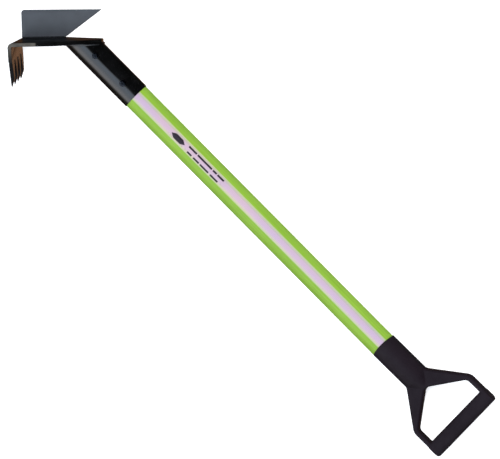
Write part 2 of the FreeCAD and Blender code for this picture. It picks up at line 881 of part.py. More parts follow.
def arch_the_lip(body):
    """Trim the socket's mouth to an arch that reaches furthest at the middle of each face."""
    sketch = new_sketch(body, "XY_Plane")
    half = size("socket_radius") + size("lip_arch_margin")
    side = size("socket_start")
    crest = side - size("lip_arch")
    outside = side - 2 * size("lip_blank")
    corners = [(side, half), (outside, half), (outside, -half), (side, -half)]
    points = [Vector(along, across, 0) for along, across in corners]
    for first, second in zip(points, points[1:]):
        sketch.addGeometry(Part.LineSegment(first, second))
    arch = sketch.addGeometry(Part.Arc(points[3], Vector(crest, 0, 0), points[0]))
    chord = "(Sizes.socket_radius + Sizes.lip_arch_margin)"
    fix_point(sketch, 0, 1, ("Sizes.socket_start", chord))
    fix_point(sketch, 1, 1, ("Sizes.socket_start - 2 * Sizes.lip_blank", chord))
    fix_point(sketch, 2, 1, ("Sizes.socket_start - 2 * Sizes.lip_blank", "-" + chord))
    fix_point(sketch, 2, 2, ("Sizes.socket_start", "-" + chord))
    for index in range(2):
        sketch.addConstraint(Sketcher.Constraint("Coincident", index, 2, index + 1, 1))
    for end in (1, 2):
        line, line_end = (0, 1) if sketch.getPoint(arch, end).y > 0 else (2, 2)
        sketch.addConstraint(Sketcher.Constraint("Coincident", arch, end, line, line_end))
    held = sketch.addConstraint(Sketcher.Constraint("Radius", arch, sketch.Geometry[arch].Radius))
    formula = "({c} * {c} + {a} * {a}) / (2 * {a})".format(c=chord, a="Sizes.lip_arch")
    sketch.setExpression("Constraints[%d]" % held, formula)
    pocket_through(body, sketch)


# ---------------------------------------------------------------- assembly


def contact_points():
    """The tool's three points of contact when it lies on its far side, in the tool frame."""
    far = -size("plate_width") / 2
    head = turned(size("head_angle"), Z_AXIS)
    tip_height = size("plate_thick") + size("blade_rear_height")
    blade_tip = head * Vector(size("blade_point"), tip_height, far)
    plate_corner = head * Vector(-size("taper_front"), 0, far)
    socket_end = grip_frame() * Vector(size("nose_start"), 0, -size("socket_radius"))
    return blade_tip, plate_corner, socket_end


def rest_placement(parts):
    """Turn the tool so that it lies on its contact points, centred over the origin."""
    blade_tip, plate_corner, socket_end = contact_points()
    up = (plate_corner - blade_tip).cross(socket_end - blade_tip)
    up.normalize()
    if up.z < 0:
        up = -up
    forward = X_AXIS - up * up.dot(X_AXIS)
    forward.normalize()
    turn = Rotation(forward, up.cross(forward), up, "ZXY").inverted()
    laid = Part.makeCompound([moved(part, Placement(Vector(), turn)) for part in parts])
    box = laid.optimalBoundingBox()
    shift = Vector(-(box.XMin + box.XMax) / 2, -(box.YMin + box.YMax) / 2, -box.ZMin)
    return Placement(shift, turn)


def moved(part, placement):
    shape = part.Shape.copy()
    shape.Placement = placement * shape.Placement
    return shape


head_parts = [rake_plate(), hook_blade(), blade_weld(), ferrule_weld()]
tool_parts = [
    ferrule(),
    fastener_group("ferrule_screws", button_screw),
    fastener_group("ferrule_washers", washer),
    fastener_group("lock_nuts", lock_nut),
    fastener_group("lock_nut_inserts", lock_nut_insert),
    pole_tube(),
    foam_core(),
    bolt_plug(),
    ferrule_adhesive(),
    grip_adhesive(),
    reflective_stripe(),
    label_decal(),
    d_grip(),
]
document.recompute()
for part in head_parts:
    part.Placement = turned(size("head_angle"), Z_AXIS) * part.Placement
document.recompute()
parts = head_parts + tool_parts
rest = rest_placement(parts)
for part in parts:
    part.Placement = rest * part.Placement
document.recompute()

for item in document.Objects:
    if "Invalid" in item.State or "Error" in item.State:
        raise RuntimeError("%s failed: %s" % (item.Label, item.State))
for part in parts:
    if part.Shape.isNull() or not part.Shape.isValid():
        raise RuntimeError(part.Label + " has no valid shape")

os.makedirs("parts", exist_ok=True)
for part in parts:
    part.Shape.exportStep("parts/%s.step" % part.Label)
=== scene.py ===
import json
import math

import bmesh
import bpy
from mathutils import Matrix, Vector, noise


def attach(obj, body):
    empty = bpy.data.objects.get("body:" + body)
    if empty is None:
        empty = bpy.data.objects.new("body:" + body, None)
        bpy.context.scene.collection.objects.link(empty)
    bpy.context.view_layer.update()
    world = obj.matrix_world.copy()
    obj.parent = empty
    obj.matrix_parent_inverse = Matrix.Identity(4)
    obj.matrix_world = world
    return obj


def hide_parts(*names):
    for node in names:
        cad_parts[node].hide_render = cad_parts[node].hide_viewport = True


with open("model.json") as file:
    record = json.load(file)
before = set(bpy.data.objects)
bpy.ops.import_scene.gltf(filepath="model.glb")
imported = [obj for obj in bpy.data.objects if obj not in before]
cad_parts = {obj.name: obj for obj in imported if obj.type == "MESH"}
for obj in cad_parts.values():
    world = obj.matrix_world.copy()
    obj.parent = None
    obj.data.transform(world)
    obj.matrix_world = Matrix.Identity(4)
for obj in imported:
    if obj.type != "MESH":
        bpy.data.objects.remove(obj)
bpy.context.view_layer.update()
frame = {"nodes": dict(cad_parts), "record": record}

# The tool frame: X runs along the pole from the head to the grip, Z is the plate's broad
# direction, and the origin is where the pole's axis meets the underside of the rake plate.
# The head frame is the same turned by HEAD_ANGLE about Z: X along the plate, Y its upward normal.
# Both are placed by the record's mounts, and all sizes below are metres in those frames.

mounts = {mount["name"]: mount for mount in frame["record"]["mounts"]}
BRACKET_ZONE_AT = 0.410
HEAD_ANGLE = math.radians(46.5)
# The stripe and the label are centred this far round the pole from the near side.
TAPE_CLOCK = math.radians(12.4)
TAPE_HALF_ANGLE = math.radians(23)

along = Vector(mounts["pole_bracket_zone"]["axis"]).normalized()
upward = -Vector(mounts["blade_back"]["axis"]).normalized()
across = upward.cross(along).normalized()
pole_origin = Vector(mounts["pole_bracket_zone"]["pos_m"]) - along * BRACKET_ZONE_AT
TOOL = Matrix((along, across, upward)).transposed().to_4x4()
TOOL.translation = pole_origin
HEAD_TURN = Matrix.Rotation(HEAD_ANGLE, 3, "Z")
HEAD = TOOL @ Matrix.Rotation(HEAD_ANGLE, 4, "Z")
ALONG_PLATE, PLATE_UP = Vector((1, 0, 0)), Vector((0, 1, 0))

# ---------------------------------------------------------------- node helpers

# Where a Mix node of colours keeps its factor, its two colours and its result.
MIX_FACTOR, MIX_FIRST, MIX_SECOND, MIX_RESULT = 0, 6, 7, 2


def link(tree, source, output, target, entry):
    tree.links.new(source.outputs[output], target.inputs[entry])


def new_material(name, **values):
    """A Principled material whose uniform values are set on the shader's own sockets."""
    material = bpy.data.materials.new(name)
    material.use_nodes = True
    shader = material.node_tree.nodes["Principled BSDF"]
    for socket, value in values.items():
        shader.inputs[socket.replace("_", " ")].default_value = value
    return material, material.node_tree, shader


def combine(tree, operation, first, second, outputs=(0, 0)):
    """A Math node on one output of each of two nodes."""
    node = tree.nodes.new("ShaderNodeMath")
    node.operation = operation
    link(tree, first, outputs[0], node, 0)
    link(tree, second, outputs[1], node, 1)
    return node


def spread(tree, source, low, high, start=0.3, end=0.7, output=0, smooth=False):
    """Turn a number between start and end into one between low and high."""
    ranged = tree.nodes.new("ShaderNodeMapRange")
    if smooth:
        ranged.interpolation_type = "SMOOTHSTEP"
    limits = {"From Min": start, "From Max": end, "To Min": low, "To Max": high}
    for socket, value in limits.items():
        ranged.inputs[socket].default_value = value
    link(tree, source, output, ranged, "Value")
    return ranged


def colour_ramp(tree, source, stops):
    """Turn a 0 to 1 pattern into colours; a stop is a place and a linear colour."""
    ramp = tree.nodes.new("ShaderNodeValToRGB")
    while len(ramp.color_ramp.elements) < len(stops):
        ramp.color_ramp.elements.new(0.5)
    for element, (place, colour) in zip(ramp.color_ramp.elements, stops):
        element.position = place
        element.color = (*colour, 1.0)
    link(tree, source, 0, ramp, 0)
    return ramp


def blend(tree, source, low, high, start=0.35, end=0.65):
    """Turn a 0 to 1 pattern into a colour between two."""
    return colour_ramp(tree, source, ((start, low), (end, high)))


def mix_colours(tree, first, second, factor=None, blend_type="MIX"):
    """Mix a colour socket with another, or with a plain colour; without a factor, in full."""
    mix = tree.nodes.new("ShaderNodeMix")
    mix.data_type = "RGBA"
    mix.blend_type = blend_type
    mix.inputs[MIX_FACTOR].default_value = 1.0
    if factor is not None:
        link(tree, factor, 0, mix, MIX_FACTOR)
    tree.links.new(first, mix.inputs[MIX_FIRST])
    if isinstance(second, tuple):
        mix.inputs[MIX_SECOND].default_value = (*second, 1)
    else:
        tree.links.new(second, mix.inputs[MIX_SECOND])
    return mix.outputs[MIX_RESULT]


def raised(tree, source, depth):
    """A Bump node for a pattern; depth is in metres."""
    bump = tree.nodes.new("ShaderNodeBump")
    bump.inputs["Distance"].default_value = depth
    link(tree, source, 0, bump, "Height")
    return bump


def roughen(tree, shader, source, depth):
    """Bump the surface by a pattern; depth is in metres."""
    bump = raised(tree, source, depth)
    link(tree, bump, 0, shader, "Normal")
    return bump


# ---------------------------------------------------------------- stage


def make_camera():
    """The photograph's long-lens view, given in the tool frame."""
    right = Vector((0.7030, 0.6903, -0.1713)).normalized()
    forward = Vector((-0.0506, -0.1917, -0.9801)).normalized()
    down = forward.cross(right).normalized()
    right = down.cross(forward).normalized()
    centre = Vector((0.40695, -0.02164, 0.0))
    frame_width = 0.814
    distance = 30.0
    data = bpy.data.cameras.new("photo_camera")
    data.sensor_width = 36.0
    data.lens = data.sensor_width * distance / frame_width
    data.clip_end = 200.0
    camera = bpy.data.objects.new("photo_camera", data)
    bpy.context.collection.objects.link(camera)
    turn = Matrix((right, -down, -forward)).transposed().to_4x4()
    camera.matrix_world = TOOL @ Matrix.Translation(centre - forward * distance) @ turn
    bpy.context.scene.camera = camera


make_camera()
bpy.context.scene.view_settings.view_transform = "Standard"


# The studio that gloss paint mirrors, as linear colours round the X axis: 0 and 1 are straight
# below, 0.25 is the horizon towards +Y, 0.5 is overhead and 0.75 is the horizon towards -Y.
DOME = (
    (0.00, (0.24, 0.125, 0.070)),
    (0.03, (0.20, 0.105, 0.060)),
    (0.06, (0.015, 0.012, 0.010)),
    (0.26, (0.006, 0.006, 0.006)),
    (0.484, (0.01, 0.01, 0.01)),
    (0.498, (0.43, 0.48, 0.54)),
    (0.53, (0.53, 0.64, 0.78)),
    (0.60, (0.58, 0.64, 0.73)),
    (0.66, (0.78, 0.80, 0.84)),
    (0.70, (0.68, 0.68, 0.68)),
    (0.735, (0.14, 0.13, 0.11)),
    (0.78, (0.02, 0.016, 0.013)),
    (0.94, (0.040, 0.030, 0.024)),
    (0.97, (0.20, 0.105, 0.060)),
    (1.00, (0.24, 0.125, 0.070)),
)
DOME_STRENGTH = 2.0
CLUTTER_SCALE = 9.0
CLUTTER_DEPTH = 0.8
BACKDROP = (0.95, 0.95, 0.95, 1.0)


def make_world():
    """The dome, cluttered below the horizon; the camera itself sees a plain pale backdrop."""
    world = bpy.data.worlds.new("studio")
    bpy.context.scene.world = world
    world.use_nodes = True
    tree = world.node_tree
    tree.nodes.clear()
    where = tree.nodes.new("ShaderNodeTexCoord")
    split = tree.nodes.new("ShaderNodeSeparateXYZ")
    link(tree, where, "Generated", split, 0)
    flip = tree.nodes.new("ShaderNodeMath")
    flip.operation = "MULTIPLY"
    flip.inputs[1].default_value = -1.0
    link(tree, split, "Y", flip, 0)
    angle = combine(tree, "ARCTAN2", flip, split, outputs=(0, "Z"))
    dome = colour_ramp(tree, spread(tree, angle, 0.0, 1.0, -math.pi, math.pi), DOME)
    clutter = tree.nodes.new("ShaderNodeTexNoise")
    clutter.inputs["Scale"].default_value = CLUTTER_SCALE
    link(tree, where, "Generated", clutter, "Vector")
    dapple = spread(tree, clutter, 0.0, 1.0, start=0.35, end=0.65)
    below = spread(tree, split, 0.0, CLUTTER_DEPTH, start=-0.05, end=-0.15, output="Z")
    mottled = mix_colours(tree, dome.outputs[0], dapple.outputs[0], below, "MULTIPLY")
    studio = tree.nodes.new("ShaderNodeBackground")
    tree.links.new(mottled, studio.inputs["Color"])
    studio.inputs["Strength"].default_value = DOME_STRENGTH
    pale = tree.nodes.new("ShaderNodeBackground")
    pale.inputs["Color"].default_value = BACKDROP
    path = tree.nodes.new("ShaderNodeLightPath")
    mix = tree.nodes.new("ShaderNodeMixShader")
    link(tree, path, "Is Camera Ray", mix, 0)
    link(tree, studio, 0, mix, 1)
    link(tree, pale, 0, mix, 2)
    output = tree.nodes.new("ShaderNodeOutputWorld")
    link(tree, mix, 0, output, 0)


make_world()


def make_soft_light(name, place, width, power):
    """A large soft light aimed at the origin, which isn't mirrored in the gloss paint."""
    data = bpy.data.lights.new(name, "AREA")
    data.shape = "DISK"
    data.size = width
    data.energy = power
    lamp = bpy.data.objects.new(name, data)
    bpy.context.collection.objects.link(lamp)
    lamp.location = place
    lamp.rotation_mode = "QUATERNION"
    lamp.rotation_quaternion = (-Vector(place)).to_track_quat("-Z", "Y")
    lamp.visible_glossy = False
    lamp.visible_camera = False


make_soft_light("overhead", place=(0.0, 0.6, 3.0), width=3.0, power=120.0)
make_soft_light("far_side", place=(0.3, 2.6, 1.6), width=2.0, power=60.0)


def make_floor():
    """A pale, slightly shining floor, which isn't mirrored in the gloss paint."""
    mesh = bpy.data.meshes.new("floor")
    half = 60.0
    corners = [(-half, -half, 0), (half, -half, 0), (half, half, 0), (-half, half, 0)]
    mesh.from_pydata(corners, [], [(0, 1, 2, 3)])
    floor = bpy.data.objects.new("floor", mesh)
    bpy.context.collection.objects.link(floor)
    floor.visible_glossy = False
    material, _, _ = new_material(
        "pale_floor",
        Base_Color=(0.86, 0.86, 0.86, 1),
        Roughness=0.9,
        Specular_IOR_Level=0.1,
        Emission_Color=(1, 1, 1, 1),
        Emission_Strength=0.42,
    )
    mesh.materials.append(material)


make_floor()

# ---------------------------------------------------------------- materials


def pole_coordinates(tree, stretch):
    """Object coordinates turned so that X follows the pole, stretched by the three factors."""
    where = tree.nodes.new("ShaderNodeTexCoord")
    level = tree.nodes.new("ShaderNodeMapping")
    level.vector_type = "TEXTURE"
    level.inputs["Location"].default_value = TOOL.translation
    level.inputs["Rotation"].default_value = TOOL.to_euler()
    link(tree, where, "Object", level, "Vector")
    scale = tree.nodes.new("ShaderNodeMapping")
    scale.inputs["Scale"].default_value = stretch
    link(tree, level, 0, scale, "Vector")
    return scale


def grain(tree, scale, stretch=(1, 1, 1), detail=3.0):
    """Noise of so many features a metre."""
    texture = tree.nodes.new("ShaderNodeTexNoise")
    texture.inputs["Scale"].default_value = scale
    texture.inputs["Detail"].default_value = detail
    link(tree, pole_coordinates(tree, stretch), 0, texture, "Vector")
    return texture


def head_reach(tree, axis, start, end):
    """0 to 1 as a point's place along one axis of the head frame goes from start to end."""
    dot = tree.nodes.new("ShaderNodeVectorMath")
    dot.operation = "DOT_PRODUCT"
    link(tree, pole_coordinates(tree, (1, 1, 1)), 0, dot, 0)
    dot.inputs[1].default_value = HEAD_TURN @ axis
    return spread(tree, dot, 0.0, 1.0, start, end, output="Value", smooth=True)


# Places along the head frame's axes between which its paint changes; the first two bound the grey
# highlight painted on the cut edge round the bend.
SHEEN_IN_FRONT_OF = (-0.0690, -0.0710)
SHEEN_ABOVE = (-0.030, 0.001)
DULLED_BELOW = (-0.022, -0.052)
POINT_DULLNESS = 0.45
# Pointiness, which is 0.5 on a flat face, where an edge starts to wear and where it is worn.
WORN_FROM, WORN_BY = 0.56, 0.66
ENAMEL_ROUGHNESS = (0.10, 0.24)
WORN_STEEL = (0.11, 0.095, 0.085)
# A painted highlight: this grey stands in for light caught on the plate's near cut edge round the
# bend.
PAINTED_SHEEN_GREY = (0.066, 0.061, 0.054)


def black_paint(
    name, peel, worn=False, gloss=1.0, dullness=0.0, tips=False, painted_sheen=False, waves=0.0
):
    """Black enamel with smudges, and orange peel of a depth in metres.

    worn lets steel show on its edges, dullness is added to its roughness, tips dulls it towards
    the tines' points, the sheen flag paints a grey highlight onto it round the bend, and waves is
    the depth, in metres, of the slow unevenness of a rolled tube.
    """
    material, tree, shader = new_material(
        name, Coat_Weight=gloss, Coat_Roughness=0.06, Specular_IOR_Level=0.5 * gloss
    )
    shade = blend(tree, grain(tree, 60), (0.0007, 0.0008, 0.0009), (0.0022, 0.0023, 0.0026))
    colour = shade.outputs[0]
    # Painted highlight: grey mixed into the enamel round the bend, above the points, broken up by
    # noise.
    if painted_sheen:
        near_bend = head_reach(tree, ALONG_PLATE, *SHEEN_IN_FRONT_OF)
        above_points = head_reach(tree, PLATE_UP, *SHEEN_ABOVE)
        sheen_here = combine(tree, "MULTIPLY", near_bend, above_points)
        uneven = spread(tree, grain(tree, 130), 0.55, 1.0)
        sheen_here = combine(tree, "MULTIPLY", sheen_here, uneven)
        colour = mix_colours(tree, colour, PAINTED_SHEEN_GREY, sheen_here)
    if worn:
        edges = tree.nodes.new("ShaderNodeNewGeometry")
        wear = spread(tree, edges, 0.0, 1.0, WORN_FROM, WORN_BY, output="Pointiness")
        uneven = spread(tree, grain(tree, 220), 0.0, 0.5, start=0.5, end=0.7)
        worn_here = combine(tree, "MULTIPLY", wear, uneven)
        colour = mix_colours(tree, colour, WORN_STEEL, worn_here)
    tree.links.new(colour, shader.inputs["Base Color"])
    smoothest, roughest = [value + dullness for value in ENAMEL_ROUGHNESS]
    rough = spread(tree, grain(tree, 45, (0.4, 1, 1)), smoothest, roughest)
    if tips:
        near_points = head_reach(tree, PLATE_UP, *DULLED_BELOW)
        duller = spread(tree, near_points, 0.0, POINT_DULLNESS, start=0.0, end=1.0)
        rough = combine(tree, "ADD", rough, duller)
    link(tree, rough, 0, shader, "Roughness")
    bump = roughen(tree, shader, grain(tree, 300, detail=1.0), peel)
    if waves:
        slow = grain(tree, 38, (0.6, 1, 1), detail=1.0)
        link(tree, raised(tree, slow, waves), 0, bump, "Normal")
    return material


def metal(name, low, high, roughness, brushing):
    """Plated or blackened steel with fine drawn lines, so many a metre."""
    material, tree, shader = new_material(name, Metallic=1.0)
    lines = grain(tree, brushing, (0.1, 1, 1))
    link(tree, blend(tree, lines, low, high), 0, shader, "Base Color")
    link(tree, spread(tree, lines, roughness * 0.8, roughness * 1.3), 0, shader, "Roughness")
    roughen(tree, shader, lines, 0.00004)
    return material


def filled(name, low, high, scale, depth, stretch=(1, 1, 1), **values):
    """A plastic, foam, wood, resin or ink with a two-tone grain that also roughens it.

    scale is features a metre, and depth is in metres.
    """
    material, tree, shader = new_material(name, **values)
    pattern = grain(tree, scale, stretch)
    link(tree, blend(tree, pattern, low, high), 0, shader, "Base Color")
    roughen(tree, shader, pattern, depth)
    return material


def fibreglass():
    """Lime gel coat: long glass streaks just under a smooth surface, and slight clouding."""
    material, tree, shader = new_material(
        "lime_gel_coat", Coat_Weight=0.10, Coat_Roughness=0.3, Specular_IOR_Level=0.35
    )
    streaks = grain(tree, 700, (0.012, 1, 1), detail=4.0)
    clouds = blend(tree, grain(tree, 14), (0.90, 0.93, 0.86), (1.0, 1.0, 1.0))
    lime = blend(tree, streaks, (0.148, 0.275, 0.018), (0.180, 0.318, 0.028))
    colour = mix_colours(tree, lime.outputs[0], clouds.outputs[0], blend_type="MULTIPLY")
    tree.links.new(colour, shader.inputs["Base Color"])
    link(tree, spread(tree, grain(tree, 90), 0.34, 0.50), 0, shader, "Roughness")
    roughen(tree, shader, streaks, 0.00005)
    return material


# The tape's linear colours, from one edge to the other.
TAPE_EDGE, TAPE_MIDDLE = (0.29, 0.36, 0.15), (0.36, 0.27, 0.345)
FILM = (
    (0.0, TAPE_EDGE),
    (0.13, (0.37, 0.345, 0.24)),
    (0.33, TAPE_MIDDLE),
    (0.67, TAPE_MIDDLE),
    (0.87, (0.325, 0.32, 0.235)),
    (1.0, TAPE_EDGE),
)


def prismatic_tape(half_angle):
    """Reflective tape: a fine grid of cells under a clear film, yellowed towards its edges."""
    material, tree, shader = new_material("prismatic_tape", Coat_Weight=0.3, Coat_Roughness=0.25)
    cells = tree.nodes.new("ShaderNodeTexVoronoi")
    cells.feature = "DISTANCE_TO_EDGE"
    cells.inputs["Scale"].default_value = 420
    cells.inputs["Randomness"].default_value = 0.15
    where = pole_coordinates(tree, (1, 1, 1))
    link(tree, where, 0, cells, "Vector")
    split = tree.nodes.new("ShaderNodeSeparateXYZ")
    link(tree, where, 0, split, 0)
    around = combine(tree, "ARCTAN2", split, split, outputs=("Y", "Z"))
    start, end = TAPE_CLOCK - half_angle, TAPE_CLOCK + half_angle
    over = spread(tree, around, 0.0, 1.0, start, end)
    film = colour_ramp(tree, over, FILM)
    lines = blend(tree, cells, (0.80, 0.80, 0.86), (1, 1, 1), start=0.02, end=0.10)
    clouds = blend(tree, grain(tree, 30, (0.3, 1, 1)), (0.91, 0.92, 1.0), (1.0, 0.96, 0.93))
    colour = mix_colours(tree, lines.outputs[0], clouds.outputs[0], blend_type="MULTIPLY")
    colour = mix_colours(tree, colour, film.outputs[0], blend_type="MULTIPLY")
    tree.links.new(colour, shader.inputs["Base Color"])
    rough = spread(tree, cells, 0.48, 0.34, start=0.0, end=0.2)
    link(tree, rough, 0, shader, "Roughness")
    roughen(tree, shader, cells, 0.00008)
    return material


def satin_with_painted_reflection():
    """The blade's duller enamel, whose lighter slate-blue colour is a painted reflection of the
    pale sky, with faint lines from rubbing along it.
    """
    material, tree, shader = new_material("satin_with_painted_reflection", Specular_IOR_Level=0.22)
    painted_sheen = grain(tree, 500, (0.06, 0.06, 1), detail=4.0)
    # Painted reflection: the lighter slate-blue base colour stands in for the sky mirrored in the
    # black blade.
    reflected_slate = blend(tree, painted_sheen, (0.043, 0.048, 0.056), (0.049, 0.055, 0.065))
    link(tree, reflected_slate, 0, shader, "Base Color")
    link(tree, spread(tree, grain(tree, 50), 0.34, 0.46), 0, shader, "Roughness")
    roughen(tree, shader, grain(tree, 300, detail=1.0), 0.00005)
    return material


def moulded_plastic():
    """Matte black moulding with a fine spark grain and slight flow marks."""
    material, tree, shader = new_material("black_moulding", Specular_IOR_Level=0.15)
    marks = grain(tree, 24, (0.5, 1, 1))
    black = blend(tree, marks, (0.0066, 0.0042, 0.0066), (0.0088, 0.0060, 0.0088))
    link(tree, black, 0, shader, "Base Color")
    link(tree, spread(tree, grain(tree, 120), 0.52, 0.68), 0, shader, "Roughness")
    roughen(tree, shader, grain(tree, 1400, detail=2.0), 0.00015)
    return material


enamel = black_paint("gloss_black_enamel", peel=0.00006, worn=True, gloss=0.8, tips=True)
ferrule_enamel = black_paint("ferrule_enamel", peel=0.00006, waves=0.0011)
weld_enamel = black_paint("weld_enamel", peel=0.00010)
dusty_enamel = black_paint("dusty_enamel", peel=0.00012, worn=True, gloss=0.02, dullness=0.16)
# The cut edges' enamel carries the grey painted highlight round the bend.
cut_enamel = black_paint(
    "cut_edge_enamel", peel=0.00020, worn=True, gloss=0.10, dullness=0.25, painted_sheen=True
)
oxide = metal(
    "black_oxide", (0.018, 0.021, 0.028), (0.050, 0.057, 0.070), roughness=0.28, brushing=900
)
zinc = metal(
    "bright_zinc", (0.50, 0.51, 0.53), (0.66, 0.67, 0.68), roughness=0.28, brushing=1100
)
nylon = filled(
    "natural_nylon",
    (0.66, 0.69, 0.71),
    (0.80, 0.82, 0.83),
    scale=260,
    depth=0.00005,
    Roughness=0.45,
)
foam = filled(
    "rigid_foam", (0.62, 0.55, 0.34), (0.82, 0.76, 0.52), scale=900, depth=0.0005, Roughness=0.9
)
wood = filled(
    "turned_hardwood",
    (0.34, 0.20, 0.09),
    (0.58, 0.40, 0.21),
    scale=420,
    depth=0.0002,
    stretch=(0.05, 1, 1),
    Roughness=0.6,
)
epoxy = filled(
    "cured_epoxy", (0.26, 0.21, 0.13), (0.38, 0.32, 0.21), scale=160, depth=0.0001, Roughness=0.3
)
ink = filled(
    "dark_ink",
    (0.006, 0.003, 0.007),
    (0.018, 0.011, 0.020),
    scale=800,
    depth=0.00003,
    Roughness=0.5,
)
lime = fibreglass()
tape = prismatic_tape(TAPE_HALF_ANGLE)
moulding = moulded_plastic()

for node, material in (
    ("rake_plate", enamel),
    ("hook_blade", enamel),
    ("ferrule", ferrule_enamel),
    ("blade_weld", weld_enamel),
    ("ferrule_weld", weld_enamel),
    ("ferrule_screws", oxide),
    ("ferrule_washers", zinc),
    ("lock_nuts", zinc),
    ("lock_nut_inserts", nylon),
    ("pole_tube", lime),
    ("foam_core", foam),
    ("bolt_plug", wood),
    ("ferrule_adhesive", epoxy),
    ("grip_adhesive", epoxy),
    ("reflective_stripe", tape),
    ("label_decal", tape),
    ("d_grip", moulding),
):
    mesh = frame["nodes"][node].data
    mesh.materials.clear()
    mesh.materials.append(material)

# ---------------------------------------------------------------- pieces

MERGE_DISTANCE = 1e-6
CUT_DISTANCE = 1e-7


def place_piece(name, shape, material, node=None):
    """Link a finished bmesh as a smooth-shaded piece on the one body; it may replace a node."""
    bmesh.ops.recalc_face_normals(shape, faces=shape.faces)
    mesh = bpy.data.meshes.new(name)
    shape.to_mesh(mesh)
    shape.free()
    mesh.polygons.foreach_set("use_smooth", [True] * len(mesh.polygons))
    mesh.materials.append(material)
    piece = bpy.data.objects.new(name, mesh)
    bpy.context.collection.objects.link(piece)
    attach(piece, "root")
    if node:
        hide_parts(node)
    return piece


def apply_modifiers(piece):
    """Bake a piece's modifiers into its mesh."""
    graph = bpy.context.evaluated_depsgraph_get()
    baked = bpy.data.meshes.new_from_object(
        piece.evaluated_get(graph), preserve_all_data_layers=True, depsgraph=graph
    )
    piece.modifiers.clear()
    piece.data = baked


def copied(node):
    """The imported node's mesh with its split corners joined again."""
    shape = bmesh.new()
    shape.from_mesh(frame["nodes"][node].data)
    bmesh.ops.remove_doubles(shape, verts=shape.verts, dist=MERGE_DISTANCE)
    return shape


SHARP_ANGLE = math.radians(30)
FLAT_ANGLE = math.radians(0.2)
EASE_SEGMENTS = 3
STEEL_EASE, MOULDING_EASE = 0.0005, 0.0006
# How nearly a face looks one way before it is repainted, as a cosine.
LOOKS_UP, LOOKS_SIDEWAYS = 0.97, 0.9


def eased(node, name, width, material):
    """A piece that replaces the node, the same but for its sharp edges, which are rounded."""
    shape = copied(node)
    bmesh.ops.dissolve_limit(
        shape, angle_limit=FLAT_ANGLE, verts=shape.verts, edges=shape.edges
    )
    piece = place_piece(name, shape, material, node)
    bevel = piece.modifiers.new("eased_edges", "BEVEL")
    bevel.width = width
    bevel.segments = EASE_SEGMENTS
    bevel.limit_method = "ANGLE"
    bevel.angle_limit = SHARP_ANGLE
    bevel.harden_normals = True
    apply_modifiers(piece)
    return piece


def repaint(piece, material, facing, cosine):
    """Give the faces that look one way, in the tool frame, another finish."""
    mesh = piece.data
    mesh.materials.append(material)
    number = len(mesh.materials) - 1
    axis = TOOL.to_3x3() @ facing
    for face in mesh.polygons:
        if face.normal.dot(axis) > cosine:
            face.material_index = number


# The blade's enamel carries a painted reflection of the sky in its colour.
eased("hook_blade", "blade_eased", STEEL_EASE, satin_with_painted_reflection())
rake = eased("rake_plate", "rake_eased", STEEL_EASE, enamel)
repaint(rake, dusty_enamel, HEAD_TURN @ PLATE_UP, LOOKS_UP)
# The cut edges take the enamel with the grey painted highlight round the bend.
for side in (1, -1):
    repaint(rake, cut_enamel, Vector((0, 0, side)), LOOKS_SIDEWAYS)
eased("d_grip", "grip_moulded", MOULDING_EASE, moulding)

# The moulding is centred on a line that is GRIP_SHIFT off the pole's axis at the socket's
# mouth, and leans from it by GRIP_TILT.
GRIP_MOUTH, GRIP_SHIFT, GRIP_TILT = 0.6943, 0.0004, math.radians(0.8)
# Further from that line than SOCKET_OUTSIDE, or past BORE_END, the skin is on the outside.
SOCKET_OUTSIDE, BORE_END = 0.0228, 0.760
RIDGE_RADIUS = 0.00028


def on_the_outside(place):
    """Whether a point of the moulding's middle plane is on its skin, not in its bore."""
    sideways = place.y - GRIP_SHIFT - (place.x - GRIP_MOUTH) * math.tan(GRIP_TILT)
    return place.x > BORE_END or abs(sideways) > SOCKET_OUTSIDE


def walk(edges):
    """Join edges into lines of vertices, each with whether it closes."""
    waiting = set(edges)
    lines = []
    for first in edges:
        if first not in waiting:
            continue
        waiting.discard(first)
        line = list(first.verts)
        # The line grows at its end first, and then at its start.
        for end in (-1, 0):
            while True:
                tip = line[end]
                onward = [edge for edge in tip.link_edges if edge in waiting]
                if not onward:
                    break
                waiting.discard(onward[0])
                line.insert(len(line) if end else 0, onward[0].other_vert(tip))
        closes = line[0] == line[-1]
        lines.append((line[:-1] if closes else line, closes))
    return lines


def parting_line():
    """The fine ridge where the two halves of the mould met."""
    shape = copied("d_grip")
    everything = shape.verts[:] + shape.edges[:] + shape.faces[:]
    cut = bmesh.ops.bisect_plane(
        shape, geom=everything, dist=CUT_DISTANCE, plane_co=TOOL.translation, plane_no=upward
    )
    to_tool = TOOL.inverted()
    seam_edges = [
        item
        for item in cut["geom_cut"]
        if isinstance(item, bmesh.types.BMEdge)
        and on_the_outside(to_tool @ ((item.verts[0].co + item.verts[1].co) / 2))
    ]
    curve = bpy.data.curves.new("grip_parting_line", "CURVE")
    curve.dimensions = "3D"
    curve.bevel_depth = RIDGE_RADIUS
    curve.bevel_resolution = 1
    curve.use_fill_caps = True
    for line, closes in walk(seam_edges):
        spline = curve.splines.new("POLY")
        spline.points.add(len(line) - 1)
        for point, vertex in zip(spline.points, line):
            point.co = (*vertex.co, 1.0)
        spline.use_cyclic_u = closes
    shape.free()
    curve.materials.append(moulding)
    piece = bpy.data.objects.new("grip_parting_line", curve)
    bpy.context.collection.objects.link(piece)
    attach(piece, "root")


parting_line()

BEAD_SIDES = 14
# The ripples' spacing, how far their crests lag at the bead's sides, and their height, as a
# share of the bead's radius, with the power by which it falls behind each crest.
RIPPLE_PITCH, RIPPLE_LAG = 0.0032, 0.0009
RIPPLE_HEIGHT, RIPPLE_FALL = 0.13, 1.6
# The bead between ripples, and how much it wanders, as shares of its radius.
BEAD_BASE, WANDER = 0.92, 0.10
WANDER_SCALE = 180.0  # features a metre


